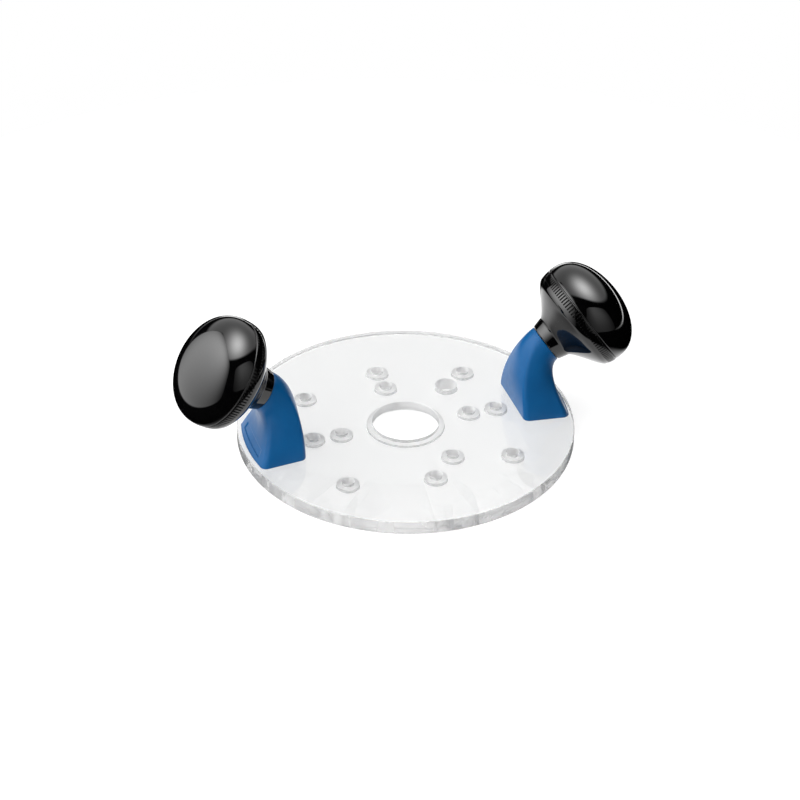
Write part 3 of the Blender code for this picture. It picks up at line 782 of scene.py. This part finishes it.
def riser_bores(side, way):
    bore = INSERT_RADIUS + SEAT_GAP
    top = RISER_BASE + SEAT_GAP + INSERT_LENGTH + CUT_PAST
    profile = [(0, top), (bore, top), (bore, RISER_BASE - CUT_PAST), (0, RISER_BASE - CUT_PAST)]
    cuts = [cutter(f"{side}_bore_cut_{k}", profile, (x * way, y), HOLE_SEGMENTS)
            for k, (x, y) in enumerate(riser_screw_places())]
    node_low, node_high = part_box(f"{side}_stud_insert")
    depth = (node_high - node_low).length / 2
    bm = bmesh.new()
    lathe(bm, [(0, CUT_PAST), (STUD_BORE, CUT_PAST), (STUD_BORE, -depth), (0, -depth)], HOLE_SEGMENTS)
    bm.transform(knob_matrix(way))
    cuts.append(mesh_object(f"{side}_stud_cut", bm))
    return cuts


def turn_to_side(bm, way):
    if way < 0:
        bm.transform(Matrix.Rotation(math.pi, 4, "Z"))


def knob_matrix(way):
    """Places a shape that is built round +Z on the neck of one side."""
    tilt = Matrix.Translation(NECK_CENTRE) @ Matrix.Rotation(NECK_TILT, 4, "Y")
    return tilt if way > 0 else Matrix.Rotation(math.pi, 4, "Z") @ tilt


# Knobs


def skirt_profile():
    """Radius and height along the skirt, from the boss to the ribbed band's foot."""
    boss = Vector((KNOB_BOSS_RADIUS + KNOB_BOSS_TAPER, KNOB_BOSS_HEIGHT))
    flank = Vector((KNOB_FLANK_RADIUS, KNOB_FLANK_HEIGHT))
    shoulder = Vector((KNOB_SHOULDER_RADIUS, KNOB_SHOULDER_HEIGHT))
    up = Vector((0, KNOB_BOSS_PULL))
    out = Vector((math.sin(KNOB_FLANK_ANGLE), math.cos(KNOB_FLANK_ANGLE))) * KNOB_FLANK_PULL
    over = Vector((math.sin(KNOB_SHOULDER_ANGLE), math.cos(KNOB_SHOULDER_ANGLE))) * KNOB_SHOULDER_PULL
    low = [hermite(boss, up, flank, out, k / FLARE_STEPS) for k in range(FLARE_STEPS)]
    return low + [hermite(flank, out, shoulder, over, k / FLARE_STEPS) for k in range(FLARE_STEPS + 1)]


def band_point(share):
    """Radius and height up the band, from the skirt's end to the rounded edge at the seam."""
    foot = Vector((KNOB_SHOULDER_RADIUS, KNOB_SHOULDER_HEIGHT))
    top = Vector((BAND_TOP_RADIUS, BODY_TOP - KNOB_EDGE_ROUND))
    pull = (top - foot).length
    lean = Vector((math.sin(KNOB_SHOULDER_ANGLE), math.cos(KNOB_SHOULDER_ANGLE))) * pull
    return hermite(foot, lean, top, Vector((0, pull)), share)


def ribbed_ring(radius, height, depth):
    """Ring with grooves of a half ellipse section, as wide as the lands between them."""
    points = []
    count = RIB_COUNT * RIB_POINTS
    for k in range(count):
        across = 2 * (k % RIB_POINTS) / RIB_POINTS / GROOVE_SHARE - 1
        reach = radius - depth * math.sqrt(max(1 - across * across, 0))
        angle = math.tau * k / count
        points.append(Vector((math.cos(angle) * reach, math.sin(angle) * reach, height)))
    return points


def rib_levels():
    """Radius, height and groove depth up the band, its grooves running out round at both ends."""
    turns = [math.pi / 2 * k / RIB_RUNOUT_STEPS for k in range(RIB_RUNOUT_STEPS + 1)]
    rise = [(RIB_START_SHARE + RIB_RUNOUT_SHARE * (1 - math.cos(a)), math.sin(a)) for a in turns]
    fall = [(RIB_START_SHARE + RIB_END_SHARE - share, depth) for share, depth in reversed(rise)]
    low, high = rise[-1][0], fall[0][0]
    middle = [(low + (high - low) * k / RIB_MIDDLE_STEPS, 1) for k in range(1, RIB_MIDDLE_STEPS)]
    plain = [(RIB_START_SHARE * k / SHOULDER_STEPS, 0) for k in range(1, SHOULDER_STEPS)]
    return [(*band_point(share), RIB_DEPTH * depth) for share, depth in plain + rise + middle + fall]


def build_knob_body(side, way, material):
    bm = bmesh.new()
    bore = (STUD_BORE, KNOB_BORE_DEPTH)
    foot = [(STUD_BORE, SEAT_GAP + KNOB_EDGE_ROUND), (STUD_BORE + KNOB_EDGE_ROUND, SEAT_GAP)]
    boss = arc(KNOB_BOSS_RADIUS - KNOB_EDGE_ROUND, SEAT_GAP + KNOB_EDGE_ROUND,
               KNOB_EDGE_ROUND, -90, 0, ROUND_STEPS)
    rings = [bore, *foot, *boss, *[(p.x, p.y) for p in skirt_profile()]]
    loops = [add_ring(bm, circle(radius, height, KNOB_SEGMENTS)) for radius, height in rings]
    bore_end = bm.verts.new((0, 0, KNOB_BORE_DEPTH))
    skin_turn(bm, [bore_end], loops[0])
    for lower, upper in zip(loops, loops[1:]):
        join_rings(bm, lower, upper)
    ribs = [add_ring(bm, ribbed_ring(*level)) for level in rib_levels()]
    join_rings(bm, loops[-1], ribs[0])
    for lower, upper in zip(ribs, ribs[1:]):
        join_rings(bm, lower, upper)
    edge = arc(BAND_TOP_RADIUS - KNOB_EDGE_ROUND, BODY_TOP - KNOB_EDGE_ROUND,
               KNOB_EDGE_ROUND, 0, 90, ROUND_STEPS)
    socket = SPIGOT_RADIUS + SEAT_GAP
    floor = CAP_BOTTOM - CAP_SPIGOT_DEPTH - SEAT_GAP
    lip = [*edge, (socket, BODY_TOP), (socket, floor)]
    tops = [add_ring(bm, circle(radius, height, KNOB_SEGMENTS)) for radius, height in lip]
    join_rings(bm, tops[0], ribs[-1])
    for lower, upper in zip(tops, tops[1:]):
        join_rings(bm, lower, upper)
    skin_turn(bm, [bm.verts.new((0, 0, floor))], tops[-1])
    bm.transform(knob_matrix(way))
    body = mesh_object(f"{side}_knob_ribbed_body", bm, KNOB_SHARP_ANGLE)
    body.data.materials.append(material)
    return body


def build_knob_dome(side, way, material):
    rise = KNOB_HEIGHT - KNOB_WIDEST_HEIGHT
    profile = [(0, KNOB_HEIGHT)]
    for k in range(DOME_STEPS - 1, -1, -1):
        climb = math.sin(math.pi / 2 * k / DOME_STEPS)
        profile.append((KNOB_RADIUS * math.sqrt(1 - climb ** DOME_FULLNESS),
                        KNOB_WIDEST_HEIGHT + rise * climb))
    profile += arc(KNOB_RADIUS - KNOB_EDGE_ROUND, CAP_BOTTOM + KNOB_EDGE_ROUND,
                   KNOB_EDGE_ROUND, 0, -90, ROUND_STEPS)
    spigot_end = CAP_BOTTOM - CAP_SPIGOT_DEPTH
    profile += [(SPIGOT_RADIUS, CAP_BOTTOM), (SPIGOT_RADIUS, spigot_end), (0, spigot_end)]
    bm = bmesh.new()
    lathe(bm, profile, KNOB_SEGMENTS)
    bm.transform(knob_matrix(way))
    dome = mesh_object(f"{side}_knob_dome", bm, KNOB_SHARP_ANGLE)
    dome.data.materials.append(material)
    return dome


# Screws and inserts


def threaded_ring(height, count):
    points = []
    for k in range(count):
        phase = (height / SCREW_PITCH - k / count) % 1
        flank = abs(2 * phase - 1)
        reach = SCREW_RADIUS - SCREW_THREAD_DEPTH * flank
        angle = math.tau * k / count
        points.append(Vector((math.cos(angle) * reach, math.sin(angle) * reach, height)))
    return points


def build_screw(name, place, material):
    """Button head screw, tip up, with a hex socket in the head below."""
    head_low = SCREW_SEAT - SCREW_HEAD_HEIGHT
    socket_radius = SCREW_SOCKET_WIDTH / math.sqrt(3)
    tip = SCREW_SEAT + SCREW_LENGTH
    core = SCREW_RADIUS - SCREW_THREAD_DEPTH
    bm = bmesh.new()
    head = [(0, head_low)]
    head += arc(SCREW_HEAD_RADIUS - SCREW_HEAD_ROUND, head_low + SCREW_HEAD_ROUND,
                SCREW_HEAD_ROUND, -90, 0, HEAD_ROUND_STEPS)
    head += [(SCREW_HEAD_RADIUS, SCREW_SEAT), (core, SCREW_SEAT)]
    rings = [[bm.verts.new((0, 0, head_low))]]
    rings += [add_ring(bm, circle(radius, height, SCREW_SEGMENTS)) for radius, height in head[1:]]
    start, end = SCREW_SEAT + SCREW_PITCH / 2, tip - SCREW_TIP_CHAMFER
    count = round((end - start) / SCREW_PITCH * THREAD_STEPS)
    rings += [add_ring(bm, threaded_ring(start + (end - start) * k / count, SCREW_SEGMENTS))
              for k in range(count + 1)]
    rings.append(add_ring(bm, circle(SCREW_RADIUS - SCREW_TIP_CHAMFER, tip, SCREW_SEGMENTS)))
    rings.append([bm.verts.new((0, 0, tip))])
    for lower, upper in zip(rings, rings[1:]):
        skin_turn(bm, lower, upper)
    bmesh.ops.translate(bm, verts=bm.verts, vec=(*place, 0))
    screw = mesh_object(name, bm)
    socket_top = head_low + SCREW_SOCKET_DEPTH
    profile = [(0, socket_top), (socket_radius, socket_top), (socket_radius, head_low - CUT_PAST),
               (0, head_low - CUT_PAST)]
    cut_away(screw, [cutter(f"{name}_socket_cut", profile, place, SOCKET_SIDES)])
    screw.data.materials.append(material)
    return screw


def build_insert(name, place, material):
    """Knurled press-in bush with a plain lead at both ends."""
    low, high = RISER_BASE + SEAT_GAP, RISER_BASE + SEAT_GAP + INSERT_LENGTH
    count = INSERT_TEETH * TOOTH_POINTS
    bm = bmesh.new()

    def toothed(height):
        points = []
        for k in range(count):
            reach = INSERT_RADIUS - INSERT_TOOTH_DEPTH * abs(math.sin(math.pi * k / TOOTH_POINTS))
            angle = math.tau * k / count
            points.append(Vector((math.cos(angle) * reach, math.sin(angle) * reach, height)))
        return points

    lead = INSERT_RADIUS - INSERT_TOOTH_DEPTH
    rings = [circle(INSERT_BORE, high, count), circle(lead, high, count),
             circle(lead, high - INSERT_EDGE, count), toothed(high - 2 * INSERT_EDGE),
             toothed(low + 2 * INSERT_EDGE), circle(lead, low + INSERT_EDGE, count),
             circle(lead, low, count), circle(INSERT_BORE, low, count)]
    loops = [add_ring(bm, ring) for ring in rings]
    for lower, upper in zip(loops, loops[1:] + loops[:1]):
        join_rings(bm, lower, upper)
    bmesh.ops.translate(bm, verts=bm.verts, vec=(*place, 0))
    insert = mesh_object(name, bm)
    insert.data.materials.append(material)
    return insert


# Putting the pieces on their bodies


def dress(piece, body, node):
    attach(piece, body)
    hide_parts(node)


def repaint(node, material):
    slots = NODES[node].material_slots
    for slot in slots:
        slot.material = material


def build_object():
    steel, turned = zinc_steel(), brass()
    blue, black = blue_plastic(), black_plastic()
    plate = build_plate(acrylic_faces(), acrylic_rim(), acrylic_machined())
    dress(plate, "root", "base_plate")
    for side, way in SIDES:
        dress(build_riser(side, way, blue), "root", f"{side}_riser")
        dress(build_knob_body(side, way, black), f"{side}_knob", f"{side}_knob_body")
        dress(build_knob_dome(side, way, black), f"{side}_knob", f"{side}_knob_cap")
        for x, y in riser_screw_places():
            end = "rear" if y > 0 else "front"
            place = (x * way, y)
            screw = f"{side}_{end}_screw"
            dress(build_screw(f"{screw}_threaded", place, steel), "root", screw)
            insert = f"{screw}_insert"
            dress(build_insert(f"{insert}_knurled", place, turned), "root", insert)
        repaint(f"{side}_stud", steel)
        repaint(f"{side}_stud_insert", turned)
        repaint(f"{side}_knob_insert", turned)


# Studio


def build_floor():
    """White disc that clips to plain white but keeps the contact shadows."""
    bm = bmesh.new()
    bmesh.ops.create_circle(bm, cap_ends=True, segments=FLOOR_SEGMENTS, radius=FLOOR_RADIUS)
    floor = mesh_object("floor", bm)
    floor.location.z = -FLOOR_DROP
    material = bpy.data.materials.new("floor_white")
    material.use_nodes = True
    nodes = Nodes(material.node_tree)
    nodes.tree.nodes.remove(nodes.tree.nodes["Principled BSDF"])
    paper = nodes.add("ShaderNodeBsdfDiffuse")
    paper.inputs["Color"].default_value = (FLOOR_COLOR, FLOOR_COLOR, FLOOR_COLOR, 1)
    path = nodes.add("ShaderNodeLightPath").outputs
    seen = nodes.math("MULTIPLY", path["Is Camera Ray"], FLOOR_GLOW)
    through = nodes.math("MULTIPLY", path["Is Transmission Ray"], FLOOR_GLOW_THROUGH)
    glow = nodes.add("ShaderNodeEmission")
    nodes.link(nodes.math("MAXIMUM", seen, through), glow.inputs["Strength"])
    both = nodes.add("ShaderNodeAddShader")
    nodes.link(paper.outputs[0], both.inputs[0])
    nodes.link(glow.outputs[0], both.inputs[1])
    nodes.link(both.outputs[0], nodes.tree.nodes["Material Output"].inputs["Surface"])
    floor.data.materials.append(material)
    floor.visible_glossy = False


def facing(nodes, place):
    """Cosine of the angle between the world's ray and an azimuth and elevation."""
    dot = nodes.add("ShaderNodeVectorMath", operation="DOT_PRODUCT")
    nodes.link(nodes.add("ShaderNodeTexCoord").outputs["Generated"], dot.inputs[0])
    dot.inputs[1].default_value = direction(*place)
    return dot.outputs["Value"]


def cone(nodes, place, half_angle, edge, strength):
    """Round patch of an even strength round a direction; angles in degrees."""
    outer, inner = (math.cos(math.radians(half_angle + way * edge)) for way in (1, -1))
    return nodes.spread(facing(nodes, place), outer, inner, 0.0, strength, smooth=True)


def horizon_line(nodes):
    """Thin bright line just below the horizon, strongest at its direction."""
    ray = nodes.add("ShaderNodeSeparateXYZ")
    nodes.link(nodes.add("ShaderNodeTexCoord").outputs["Generated"], ray.inputs[0])
    off = nodes.math("ABSOLUTE", nodes.math("SUBTRACT", ray.outputs["Z"], HORIZON_SINE), 0.0)
    line = nodes.spread(off, 0.0, HORIZON_HALF_WIDTH, 1.0, 0.0, smooth=True)
    fade = nodes.math("POWER", nodes.math("MAXIMUM", facing(nodes, HORIZON_DIRECTION), 0.0), HORIZON_FALL)
    return nodes.math("MULTIPLY", nodes.math("MULTIPLY", line, fade), HORIZON_MIRRORED)


def build_world():
    """White to look at; round the object a dark room under a round glowing ceiling.

    What is seen straight through the plate is white too. A ray that turned about inside it
    sees the room, so that the plate's walls and edges stand out as grey.
    """
    world = bpy.data.worlds.new("studio")
    world.use_nodes = True
    nodes = Nodes(world.node_tree)
    nodes.tree.nodes.clear()
    path = nodes.add("ShaderNodeLightPath").outputs
    direct = nodes.math("LESS_THAN", path["Diffuse Depth"], 0.5)
    through = nodes.math("MULTIPLY", path["Is Transmission Ray"], direct)
    turned = nodes.math("MULTIPLY", through, nodes.math("GREATER_THAN", path["Glossy Depth"], 0.5))
    white = nodes.math("MAXIMUM", path["Is Camera Ray"], nodes.math("SUBTRACT", through, turned))
    ceiling = cone(nodes, CEILING_DIRECTION, CEILING_HALF_ANGLE, CEILING_EDGE, 1.0)
    near_glow = nodes.math("MAXIMUM", facing(nodes, GLOW_DIRECTION), 0.0)
    glow = nodes.math("POWER", near_glow, GLOW_FALL)
    mirrored = nodes.math("ADD", nodes.math("MULTIPLY", glow, GLOW_MIRRORED), CEILING_MIRRORED)
    mirrored = nodes.math("MULTIPLY", mirrored, ceiling)
    spot = cone(nodes, SPOT_DIRECTION, SPOT_HALF_ANGLE, SPOT_EDGE, SPOT_MIRRORED)
    for other in (spot, horizon_line(nodes)):
        mirrored = nodes.math("MAXIMUM", mirrored, other)
    light = nodes.math("ADD", nodes.math("MULTIPLY", ceiling, CEILING_LIGHT), ROOM_LIGHT)
    inside = nodes.spread(ceiling, 0.0, 1.0, ROOM_SEEN_INSIDE, CEILING_MIRRORED)
    room = nodes.between(path["Is Glossy Ray"], light, nodes.between(turned, mirrored, inside))
    plain = nodes.math("SUBTRACT", path["Is Transmission Ray"], turned)
    hidden = nodes.math("MAXIMUM", path["Is Camera Ray"], plain)
    room = nodes.math("MULTIPLY", room, nodes.math("SUBTRACT", 1.0, hidden))
    background = nodes.add("ShaderNodeBackground")
    background.inputs["Color"].default_value = (1, 1, 1, 1)
    nodes.link(nodes.math("MAXIMUM", white, room), background.inputs["Strength"])
    output = nodes.add("ShaderNodeOutputWorld")
    nodes.link(background.outputs[0], output.inputs["Surface"])
    bpy.context.scene.world = world


def upright_place(start, end, low, high):
    """Size and placing of an upright panel whose back is its local +Z."""
    start, end = Vector((*start, 0)), Vector((*end, 0))
    along = (end - start).normalized()
    away = along.cross(Vector((0, 0, 1)))
    if away.dot(start + end) < 0:
        raise ValueError("the panel faces away from the object")
    turn = Matrix((along, Vector((0, 0, 1)), away)).transposed().to_4x4()
    middle = (start + end) / 2 + Vector((0, 0, (low + high) / 2))
    return (end - start).length, high - low, Matrix.Translation(middle) @ turn


def build_lamp(name, place, radiance):
    """Panel that lights the object but shows in nothing."""
    width, height, matrix = place
    data = bpy.data.lights.new(name, "AREA")
    data.shape = "RECTANGLE"
    data.size, data.size_y = width, height
    data.energy = math.pi * width * height * radiance
    lamp = link(bpy.data.objects.new(name, data))
    lamp.matrix_world = matrix
    lamp.visible_camera = False
    lamp.visible_glossy = False
    lamp.visible_transmission = False


def show_in_gloss_only(obj, build_strength, clear_from_below=False):
    """Make a piece glow in what mirrors it; it lights nothing and nothing else shows it."""
    material = bpy.data.materials.new(obj.name)
    material.use_nodes = True
    nodes = Nodes(material.node_tree)
    nodes.tree.nodes.remove(nodes.tree.nodes["Principled BSDF"])
    glow = nodes.add("ShaderNodeEmission")
    nodes.link(build_strength(nodes), glow.inputs["Strength"])
    shader = glow.outputs[0]
    if clear_from_below:
        mix = nodes.add("ShaderNodeMixShader")
        nodes.link(nodes.add("ShaderNodeNewGeometry").outputs["Backfacing"], mix.inputs["Fac"])
        nodes.link(shader, mix.inputs[1])
        nodes.link(nodes.add("ShaderNodeBsdfTransparent").outputs[0], mix.inputs[2])
        shader = mix.outputs[0]
    nodes.link(shader, nodes.tree.nodes["Material Output"].inputs["Surface"])
    obj.data.materials.append(material)
    obj.visible_camera = False
    obj.visible_diffuse = False
    obj.visible_transmission = False
    obj.visible_shadow = False


def hump(nodes, share, start, peak, end):
    """Goes from start up to one at the peak share, and down to end."""
    rise = nodes.spread(share, 0.0, peak, start, 1.0, smooth=True)
    fall = nodes.spread(share, peak, 1.0, 1.0, end, smooth=True)
    return nodes.math("MULTIPLY", rise, fall)


def build_card(name, place, radiance, along, upward):
    """Panel with round corners that shows in gloss only, brightest at its humps' peaks."""
    width, height, matrix = place
    bm = bmesh.new()
    bmesh.ops.create_grid(bm, x_segments=1, y_segments=1, size=0.5)
    bmesh.ops.scale(bm, verts=bm.verts, vec=(width, height, 1))
    card = mesh_object(name, bm)
    card.matrix_world = matrix

    def strength(nodes):
        share = nodes.add("ShaderNodeSeparateXYZ")
        nodes.link(nodes.add("ShaderNodeTexCoord").outputs["Generated"], share.inputs[0])
        face = nodes.math("MULTIPLY", hump(nodes, share.outputs["X"], *along),
                          hump(nodes, share.outputs["Y"], *upward))
        off = [nodes.spread(share.outputs[way], 0.0, 1.0, -1.0, 1.0) for way in ("X", "Y")]
        off = [nodes.math("POWER", nodes.math("ABSOLUTE", value, 0.0), CARD_CORNER_POWER) for value in off]
        edge = nodes.spread(nodes.math("ADD", *off), CARD_EDGE_START, 1.0, radiance, 0.0, smooth=True)
        return nodes.math("MULTIPLY", face, edge)

    show_in_gloss_only(card, strength)


def build_table_glow():
    """Bright round patch of table about the plate and over it, as knobs and risers mirror it."""
    bm = bmesh.new()
    bmesh.ops.create_circle(bm, cap_ends=True, segments=FLOOR_SEGMENTS,
                            radius=TABLE_GLOW_RADIUS + TABLE_GLOW_EDGE)
    patch = mesh_object("table_glow", bm)
    patch.location = (*TABLE_GLOW_PLACE, PLATE_THICKNESS + TABLE_GLOW_CLEARANCE)

    def strength(nodes):
        reach = nodes.add("ShaderNodeVectorMath", operation="LENGTH")
        nodes.link(nodes.add("ShaderNodeTexCoord").outputs["Object"], reach.inputs[0])
        rim = nodes.spread(reach.outputs["Value"], TABLE_GLOW_RADIUS - TABLE_GLOW_EDGE,
                           TABLE_GLOW_RADIUS + TABLE_GLOW_EDGE, TABLE_GLOW_MIRRORED, 0.0, smooth=True)
        middle = nodes.spread(reach.outputs["Value"], TABLE_GLOW_DIM_RADIUS, TABLE_GLOW_DIM_END,
                              TABLE_GLOW_DIM_SHARE, 1.0, smooth=True)
        return nodes.math("MULTIPLY", rim, middle)

    show_in_gloss_only(patch, strength, clear_from_below=True)


def build_panels():
    """A large softbox at the left, a dimmer card in front and to the right, and a near fill."""
    left, front, near = (upright_place(*panel) for panel in (LEFT_PANEL, FRONT_PANEL, NEAR_PANEL))
    build_lamp("left_softbox", left, LEFT_LIGHT)
    build_lamp("front_fill", front, FRONT_LIGHT)
    build_lamp("near_fill", near, NEAR_LIGHT)
    build_card("left_card", left, LEFT_MIRRORED, LEFT_ALONG_SHARES, LEFT_UPWARD_SHARES)
    build_card("front_card", front, FRONT_MIRRORED, FRONT_ALONG_SHARES, FRONT_UPWARD_SHARES)


def build_camera():
    target = Vector((0, 0, PLATE_THICKNESS))
    away = direction(*CAMERA_DIRECTION)
    data = bpy.data.cameras.new("camera")
    camera = link(bpy.data.objects.new("camera", data))
    turn = away.to_track_quat("Z", "Y").to_matrix().to_4x4() @ Matrix.Rotation(CAMERA_ROLL, 4, "Z")
    camera.matrix_world = Matrix.Translation(target + away * CAMERA_DISTANCE) @ turn
    data.sensor_fit = "HORIZONTAL"
    data.sensor_width = SENSOR_WIDTH
    data.lens = PIXELS_PER_METRE * CAMERA_DISTANCE / IMAGE_SIZE * SENSOR_WIDTH
    data.shift_x = (IMAGE_SIZE / 2 - PLATE_CENTRE_PIXEL[0]) / IMAGE_SIZE
    data.shift_y = (PLATE_CENTRE_PIXEL[1] - IMAGE_SIZE / 2) / IMAGE_SIZE
    bpy.context.scene.camera = camera


def let_light_bounce():
    """Enough bounces for the paths that turn about inside the clear plate."""
    cycles = bpy.context.scene.cycles
    cycles.max_bounces = LIGHT_BOUNCES
    cycles.glossy_bounces = CLEAR_BOUNCES
    cycles.transmission_bounces = CLEAR_BOUNCES


bpy.context.scene.view_settings.view_transform = "Standard"
let_light_bounce()
build_camera()
build_object()
build_floor()
build_world()
build_table_glow()
build_panels()
